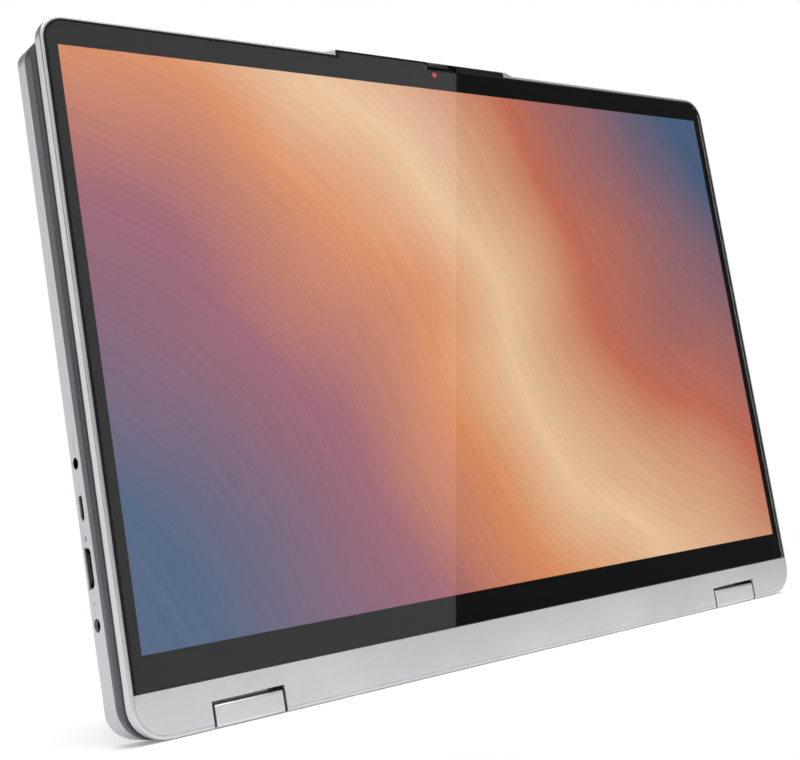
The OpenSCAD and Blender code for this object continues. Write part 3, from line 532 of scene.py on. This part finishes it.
link_low, link_high = mm_box("hinge_link_right")
cap_end = mm_box("hinge_link_caps")[1][0]
for side, label in ((1, "right"), (-1, "left")):
    ends = sorted((side * link_low[0], side * link_high[0]))
    cover = hinge_cover_shape((ends[0], link_low[1], link_low[2]), (ends[1], link_high[1], link_high[2]),
                              side * link_low[0])
    finish_piece("hinge_cover_" + label, cover, hinge_cover, "hinge_links", ["hinge_link_" + label])
SEAM = 0.02
caps = []
for side in (1, -1):
    ends = sorted((side * (link_high[0] + SEAM), side * cap_end))
    caps.append(hinge_cover_shape((ends[0], link_low[1], link_low[2]),
                                  (ends[1], link_high[1], link_high[2]), side * cap_end))
finish_piece("hinge_end_caps", merge(*caps), hinge_cover, "hinge_links", ["hinge_link_caps"])

# %% [markdown]
# **Base shells.** The deck and the bottom cover carry all the cut-outs of the measured model, so a
# merged copy of it is taken and its edges are eased by a small bevel, as deburring does.

# %% Base shells
def eased_copy(node, name, material, body, width=0.15):
    bm = bmesh.new()
    bm.from_mesh(nodes[node].data)
    bmesh.ops.remove_doubles(bm, verts=bm.verts, dist=2e-6)
    bmesh.ops.dissolve_limit(bm, angle_limit=math.radians(1.0), verts=bm.verts, edges=bm.edges,
                             use_dissolve_boundaries=False, delimit=set())
    piece = finish_piece(name, bm, material, body, [node], 28, 1.0)
    if width:
        ease = piece.modifiers.new("ease", "BEVEL")
        ease.width, ease.segments, ease.limit_method = width * MM, 2, "ANGLE"
        ease.angle_limit, ease.use_clamp_overlap = math.radians(45), False
        ease.miter_outer = "MITER_ARC"
    return piece


eased_copy("deck_cover", "deck_shell", deck_metal, "base", 0.06)
eased_copy("bottom_cover", "bottom_shell", bottom_metal, "base", 0.2)

# %% [markdown]
# **Feet** are long moulded rubber strips with rounded ends.

# %% Feet
feet_low, feet_high = mm_box("rubber_feet")
feet = []
for x0, x1, z0, z1 in ((-146, 146, 13, 21), (-146, -60, 231, 239), (60, 146, 231, 239)):
    feet.append(slab((x0, feet_low[1], z0), (x1, feet_high[1], z1), 3.9, 3.9, 0.6, 0, 8, 3))
finish_piece("foot_strips", merge(*feet), foot_rubber, "base", ["rubber_feet"])

# %% [markdown]
# **Keys.** A key cap is a moulded tile: rounded corners, an eased top edge and a shallow dish. Each row
# is one piece, because its keys share one press joint in the measured model.

# %% Key rows
PITCH, ROW_PITCH, FN_PITCH, PAD_PITCH, KEY_GAP = 18.0, 18.5, 12.5, 14.6, 2.4
KEY_Z0, PAD_GAP = 36.0, 4.0
KEYS_W = 15 * PITCH + PAD_GAP + 4 * PAD_PITCH
KEYS_X0 = -KEYS_W / 2
ROW_Z = [KEY_Z0 + FN_PITCH + i * ROW_PITCH for i in range(5)]
PAD_X0 = KEYS_X0 + 15 * PITCH + PAD_GAP
FN_W = 15 * PITCH / 14
CAP_TOP = mm_box("space_bar")[1][1]
CAP_THICK, CAP_CORNER, CAP_EASE, DISH_IN, DISH = 1.2, 1.2, 0.3, 0.75, 0.12


def key_cap(x, z, w, h):
    """One cap: rounded corners, eased top edge, and a shallow dish."""
    half = KEY_GAP / 2
    bm = slab((x + half, CAP_TOP - CAP_THICK, z + half), (x + w - half, CAP_TOP, z + h - half),
              CAP_CORNER, CAP_CORNER, 0, CAP_EASE, 4, 2)
    top = [f for f in bm.faces if f.normal.y > 0.9 and f.calc_center_median().y > CAP_TOP - 0.01]
    if len(top) == 1:
        bmesh.ops.inset_region(bm, faces=top, thickness=DISH_IN, depth=-DISH, use_even_offset=True)
    return bm


def run_of(widths, x0, z, h, unit):
    caps, x = [], x0
    for w in widths:
        caps.append((x, z, w * unit, h))
        x += w * unit
    return caps


number = run_of([1] * 13, KEYS_X0, ROW_Z[0], ROW_PITCH, PITCH)
upper = run_of([1.5] + [1] * 12 + [1.5], KEYS_X0, ROW_Z[1], ROW_PITCH, PITCH)
home = run_of([1.75] + [1] * 11, KEYS_X0, ROW_Z[2], ROW_PITCH, PITCH)
lower = run_of([2.25] + [1] * 10 + [2.75], KEYS_X0, ROW_Z[3], ROW_PITCH, PITCH)
bottom = run_of([1.25, 1, 1, 1, 5.75, 1, 1], KEYS_X0, ROW_Z[4], ROW_PITCH, PITCH)
function = (run_of([1] * 14, KEYS_X0, KEY_Z0, FN_PITCH, FN_W)
            + run_of([1] * 4, PAD_X0, KEY_Z0, FN_PITCH, PAD_PITCH))
backspace = [(KEYS_X0 + 13 * PITCH, ROW_Z[0], 2 * PITCH, ROW_PITCH)]
enter = [(KEYS_X0 + 12.75 * PITCH, ROW_Z[2], 2.25 * PITCH, ROW_PITCH)]
pad = [(PAD_X0 + k * PAD_PITCH, ROW_Z[r], PAD_PITCH * (2 if (r, k) == (4, 0) else 1), ROW_PITCH)
       for r in range(5) for k in range(4) if (r, k) != (4, 1)]
ARROW_X, ARROW_Z, HALF_ROW = KEYS_X0 + 12 * PITCH, ROW_Z[4], ROW_PITCH / 2
arrows = [(ARROW_X, ARROW_Z + HALF_ROW), (ARROW_X + 2 * PITCH, ARROW_Z + HALF_ROW),
          (ARROW_X + PITCH, ARROW_Z), (ARROW_X + PITCH, ARROW_Z + HALF_ROW)]
rows = {"function_keys": function, "number_keys": number, "upper_letter_keys": upper,
        "home_letter_keys": home, "lower_letter_keys": lower, "modifier_keys": bottom[:4] + bottom[5:],
        "space_bar": [bottom[4]], "enter_key": enter, "backspace_key": backspace, "numpad_keys": pad}
for node, caps in rows.items():
    finish_piece(node.replace("_keys", "") + "_caps", merge(*[key_cap(*c) for c in caps]), key_plastic,
                 node, [node])
ARROW_THICK, ARROW_GAP = 1.8, 0.8
arrow_caps = [slab((x + KEY_GAP / 2, CAP_TOP - ARROW_THICK, z + ARROW_GAP),
                   (x + PITCH - KEY_GAP / 2, CAP_TOP, z + HALF_ROW - ARROW_GAP),
                   CAP_CORNER, CAP_CORNER, 0, CAP_EASE, 4, 2) for x, z in arrows]
finish_piece("arrow_caps", merge(*arrow_caps), key_plastic, "arrow_keys", ["arrow_keys"])

# %% [markdown]
# **Legends.** Plain letters and digits, as on any keyboard. Text is made as a curve, turned to a mesh,
# and laid a fiftieth of a millimetre above its key. The deck is read from the side of the touchpad, so
# the text is turned to face +Y with its top towards the hinge.

# %% Legends
LEGENDS = {
    "function_keys": list(zip(function, ["esc"] + [f"F{i}" for i in range(1, 13)] + ["del"])),
    "number_keys": list(zip(number, "`1234567890-=")),
    "upper_letter_keys": list(zip(upper, ["tab"] + list("QWERTYUIOP[]\\"))),
    "home_letter_keys": list(zip(home, ["caps"] + list("ASDFGHJKL;'"))),
    "lower_letter_keys": list(zip(lower, ["shift"] + list("ZXCVBNM,./") + ["shift"])),
    "modifier_keys": list(zip(bottom[:4] + bottom[5:], ["ctrl", "fn", "", "alt", "alt", "ctrl"])),
    "enter_key": list(zip(enter, ["enter"])), "backspace_key": list(zip(backspace, ["back"])),
    "numpad_keys": list(zip(pad, ["num", "/", "*", "-", "7", "8", "9", "+", "4", "5", "6", "+",
                                  "1", "2", "3", "=", "0", ".", "="]))}
LEGEND_LIFT, LEGEND_X, LEGEND_Z = 0.02, 3.4, 3.2
LETTER, WORD = 4.6, 3.0


def legend(text, cap):
    """A mesh of one legend, in millimetres, at the corner of its cap nearest the hinge and the left."""
    x, z = cap[:2]
    size = LETTER if len(text) == 1 else WORD
    curve = bpy.data.curves.new("legend", "FONT")
    curve.body, curve.size, curve.resolution_u = text, size, 2
    curve.align_x, curve.align_y = "LEFT", "TOP"
    thing = bpy.data.objects.new("legend", curve)
    bpy.context.scene.collection.objects.link(thing)
    bm = bmesh.new()
    bm.from_mesh(thing.evaluated_get(bpy.context.evaluated_depsgraph_get()).to_mesh())
    bpy.data.objects.remove(thing)
    bpy.data.curves.remove(curve)
    # text right is +X and text up is -Z, seen from +Y
    turn = Matrix(((1, 0, 0), (0, 0, 1), (0, -1, 0))).to_4x4()
    place = (x + LEGEND_X, CAP_TOP + LEGEND_LIFT - DISH, z + LEGEND_Z)
    bmesh.ops.transform(bm, matrix=Matrix.Translation(place) @ turn, verts=bm.verts)
    return bm


for node, marks in LEGENDS.items():
    shapes = [legend(text, cap) for cap, text in marks if text]
    finish_piece(node + "_legends", merge(*shapes), key_ink, node)

# %% [markdown]
# **Touchpad and fingerprint window** lie flush in the palm rest, with a fine eased edge.

# %% Touchpad and sensor
pad_low, pad_high = mm_box("touchpad")
touch = slab((pad_low[0], pad_high[1] - 1.0, pad_low[2]), pad_high, 2.5, 2.5, 0, 0.18, 6, 2)
finish_piece("touch_plate", touch, touch_glass, "touchpad", ["touchpad"])
sensor_low, sensor_high = mm_box("fingerprint_sensor")
sensor = slab(sensor_low, sensor_high, 1.9, 1.9, 0, 0.3, 6, 2)
finish_piece("fingerprint_window", sensor, sensor_glass, "base", ["fingerprint_sensor"])

# %% [markdown]
# **Power button** is a small pill in the side wall.

# %% Power button
button_low, button_high = mm_box("power_button")
PILL_DEPTH, FLANGE_Y, FLANGE_Z = 2.5, 0.4, 0.6
face_x, near = button_high[0], 1e-4
pill = block((face_x - PILL_DEPTH, button_low[1] + FLANGE_Y, button_low[2] + FLANGE_Z),
             (face_x, button_high[1] - FLANGE_Y, button_high[2] - FLANGE_Z))
round_edges(pill, lambda a, b: abs(a.y - b.y) < near and abs(a.z - b.z) < near, 1.55, 6)
round_edges(pill, lambda a, b: abs(a.x - face_x) < near and abs(b.x - face_x) < near, 0.25, 2)
flange = block(button_low, (face_x - PILL_DEPTH, button_high[1], button_high[2]))
finish_piece("power_pill", merge(pill, flange), deck_metal, "power_button", ["power_button"])

# %% [markdown]
# **Marks beside the sockets.** Tiny plain bars and dots printed on the wall.

# %% Marks
MARK_Y, INK = mm_box("audio_socket")[0][1] + 2.8, 0.02
# height, width and length of each sign
SIGNS = ((101.5, 1.0, 0.35), (103.4, 0.35, 1.4), (105.2, 1.0, 0.35), (89.4, 0.9, 0.3), (90.6, 0.9, 0.3),
         (71.2, 1.1, 1.8), (52.4, 0.8, 0.35), (45.6, 0.35, 1.0))
marks = [block((-HALF_W - INK, MARK_Y - wide / 2, z - long / 2),
               (-HALF_W + INK, MARK_Y + wide / 2, z + long / 2)) for z, wide, long in SIGNS]
finish_piece("socket_marks", merge(*marks), mark_ink, "base")

# %% [markdown]
# **Everything else keeps its measured shape** and gets the finish of the real part.

# %% Finishes of the measured pieces
FINISHES = {
    "camera_module": black_plastic, "battery_frame": black_plastic, "speakers": black_plastic,
    "fan_housing": fan_plastic, "fan_rotor": fan_plastic, "keyboard_web": web_plastic,
    "audio_socket": socket_plastic, "power_socket": socket_plastic, "status_led": lens_plastic,
    "lid_hinge_brackets": stamped_steel, "base_hinge_brackets": stamped_steel,
    "lid_magnets": stamped_steel, "keyboard_plate": stamped_steel, "bottom_screws": turned_steel,
    "lid_hinge_shafts": turned_steel, "base_hinge_shafts": turned_steel,
    "idler_gears_lid_side": turned_steel, "idler_gears_base_side": turned_steel,
    "display_board": circuit_board, "motherboard": circuit_board, "ssd_module": circuit_board,
    "wifi_card": circuit_board, "io_board": circuit_board, "touchpad_board": circuit_board,
    "wifi_antennas": gold_foil, "board_chips": chip_epoxy, "battery_cells": cell_wrap,
    "heat_pipe": copper, "cooling_fins": fin_metal, "hdmi_socket": nickel, "usb_c_socket": nickel,
    "usb_a_sockets": nickel, "card_reader": nickel}
for name, material in FINISHES.items():
    slots = nodes[name].data.materials
    for i in range(len(slots)):
        slots[i] = material
    if not slots:
        slots.append(material)
print("finished", len(FINISHES), "measured pieces")

# %% [markdown]
# **Studio.** A pale floor, a white surround for the lens, soft boxes for the metal, and one tall soft
# box low on the right, whose reflection lies like a veil over the left half of the glass.

# %% Studio
def emitter(name, place, aim, width, height, power, roll=0.0):
    light = bpy.data.lights.new(name, "AREA")
    light.shape, light.size, light.size_y, light.energy = "RECTANGLE", width, height, power
    lamp = bpy.data.objects.new(name, light)
    bpy.context.scene.collection.objects.link(lamp)
    lamp.location = place
    turn = (Vector(aim) - Vector(place)).to_track_quat("-Z", "Y")
    lamp.rotation_mode = "QUATERNION"
    lamp.rotation_quaternion = turn @ Matrix.Rotation(roll, 3, "Z").to_quaternion()
    return lamp


floor_mesh = bmesh.new()
bmesh.ops.create_circle(floor_mesh, cap_ends=True, segments=96, radius=1.0)
# the floor ends close in front of the display, so that the glass does not mirror its edge
FLOOR_HALF, FLOOR_SHIFT, FLOOR_DROP = (0.55, 0.40, 1.0), (0, 0.19, 0), 0.0004
bmesh.ops.scale(floor_mesh, vec=FLOOR_HALF, verts=floor_mesh.verts)
bmesh.ops.translate(floor_mesh, vec=FLOOR_SHIFT, verts=floor_mesh.verts)
floor_data = bpy.data.meshes.new("studio_floor")
floor_mesh.to_mesh(floor_data)
floor_mesh.free()
floor = bpy.data.objects.new("studio_floor", floor_data)
bpy.context.scene.collection.objects.link(floor)
floor.location.z = -FLOOR_DROP
floor_paint = surface("matt_white_floor", "#fafafa", "#ffffff", (0.85, 0.95), 2.0, 0.02,
                      **{"Emission Color": (1, 1, 1, 1), "Emission Strength": 0.16})
floor_data.materials.append(floor_paint)

world = bpy.data.worlds.new("studio_air")
bpy.context.scene.world = world
world.use_nodes = True
air = world.node_tree
air.nodes.clear()
seen = add(air, "ShaderNodeLightPath").outputs["Is Camera Ray"]
dim = add(air, "ShaderNodeBackground", {"Color": (1, 1, 1, 1), "Strength": 0.08})
white = add(air, "ShaderNodeBackground", {"Color": (1, 1, 1, 1), "Strength": 1.0})
both = add(air, "ShaderNodeMixShader", {0: seen, 1: dim.outputs[0], 2: white.outputs[0]})
add(air, "ShaderNodeOutputWorld", {"Surface": both.outputs[0]})

emitter("top_box", (0.0, -0.2, 1.6), (0, 0, 0.1), 1.6, 1.6, 19)
emitter("front_high_box", (0.2, -1.3, 1.9), (0, 0, 0.12), 2.6, 0.9, 29)
emitter("front_left_box", (-1.1, -1.4, 0.5), (0, 0, 0.12), 1.0, 1.2, 7.5)
emitter("back_left_box", (-1.0, 1.2, 0.45), (-0.18, 0, 0.12), 1.1, 1.1, 5.8)
emitter("back_box", (0.8, 1.6, 1.0), (0, 0, 0.12), 1.2, 0.9, 10)
emitter("veil_box", (0.815, -1.5, 0.45), (0.815, 0.0, 0.45), 0.9, 1.9, 2.4, math.radians(-12.2))
print("studio ready")

# %% [markdown]
# **Camera.** Low, to the left of the machine, tilted as the view is, with a lens near 61 mm.

# %% Camera
lens = bpy.data.cameras.new("camera")
LENS_MM, SENSOR_MM, SHIFT = 61.395, 36.0, (-0.0875, 0.01875)
PLACE, TILT = (-0.38237, -0.43903, 0.04465), (96.6016, 9.5088, -39.9104)
lens.lens, lens.sensor_width = LENS_MM, SENSOR_MM
lens.shift_x, lens.shift_y = SHIFT
lens.clip_start, lens.clip_end = 0.01, 20
camera = bpy.data.objects.new("camera", lens)
bpy.context.scene.collection.objects.link(camera)
camera.location = PLACE
camera.rotation_euler = [math.radians(a) for a in TILT]
bpy.context.scene.camera = camera
bpy.context.scene.view_settings.view_transform = "Standard"
